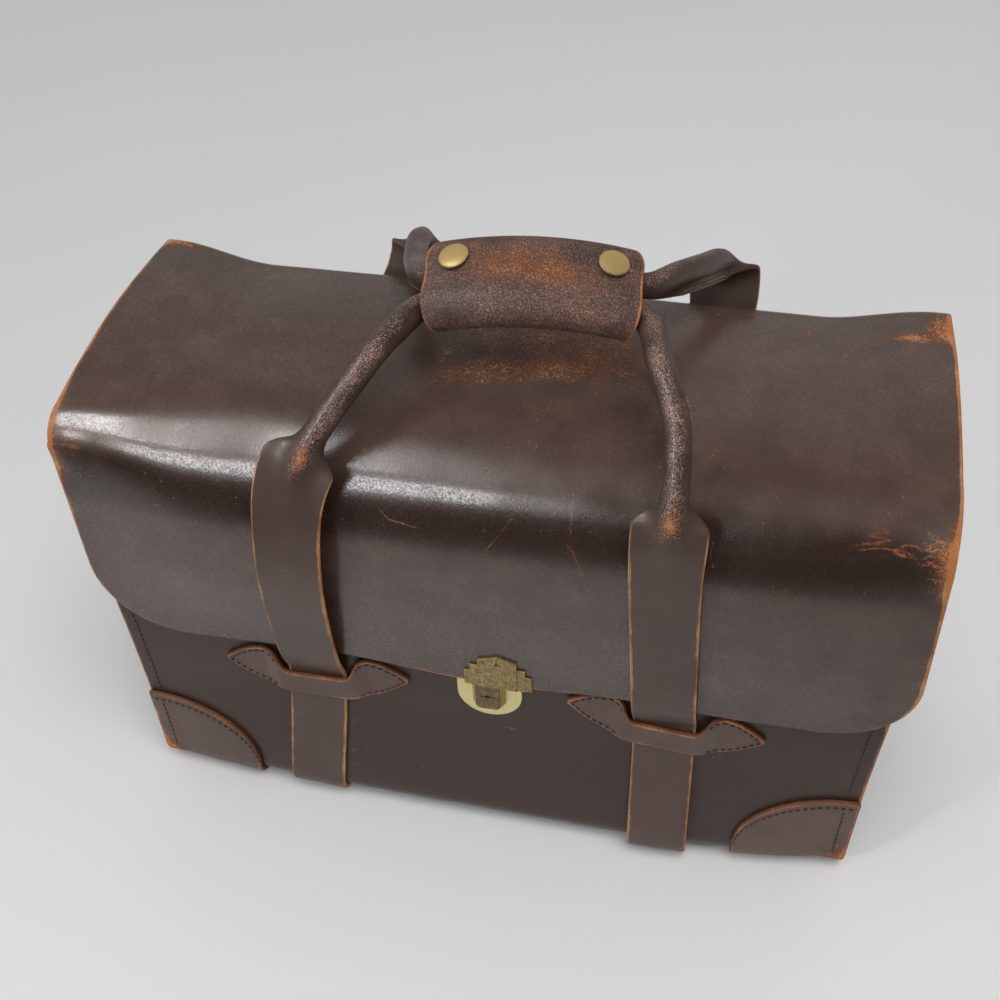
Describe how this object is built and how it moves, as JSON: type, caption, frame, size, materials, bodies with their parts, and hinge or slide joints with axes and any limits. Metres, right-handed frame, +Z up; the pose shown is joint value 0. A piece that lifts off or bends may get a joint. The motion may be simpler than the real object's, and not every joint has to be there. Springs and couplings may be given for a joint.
{
  "type": "briefcase",
  "caption": "Worn leather briefcase with a fold-over flap, rolled carrying handles joined by a snapped grip, leaf-shaped strap keepers, sewn corner patches and a brass hasp lock.",
  "frame": {"origin": "middle of the footprint, on the surface that the case stands on", "axes": "+Z up, +X to the right as seen from the front, +Y from the front panel to the back"},
  "size_m": [0.4562, 0.2012, 0.355],
  "materials": {
    "hide": "waxed, creased, with a soft sheen",
    "strap": "waxed, edges worn to raw tan",
    "trim": "sewn, edges worn to raw tan",
    "wrap": "dry, grainy, rubbed lighter by the hand",
    "snap": "aged, dull",
    "plate": "brushed, worn bright",
    "slide": "tarnished dark",
    "hasp": "tarnished, scuffed"
  },
  "bodies": {
    "case": {"front_and_base": "hide", "back_and_flap": "hide", "gusset_left": "hide", "gusset_right": "hide", "corner_patch_front_left": "trim", "corner_patch_front_right": "trim", "corner_patch_back_left": "trim", "corner_patch_back_right": "trim", "keeper_front_left": "trim", "keeper_front_right": "trim", "keeper_back_left": "trim", "keeper_back_right": "trim", "handle_front": "strap", "handle_back": "strap", "grip": "wrap", "snap_left": "snap", "snap_right": "snap", "lock_plate": "plate", "lock_hasp": "hasp"},
    "slide": {"lock_slide": "slide"}
  },
  "joints": [
    {"name": "lock_slide", "type": "slide", "parent": "case", "child": "slide", "axis": [1, 0, 0], "range_m": [0, 0.004], "stiffness_N_per_m": 300}
  ]
}
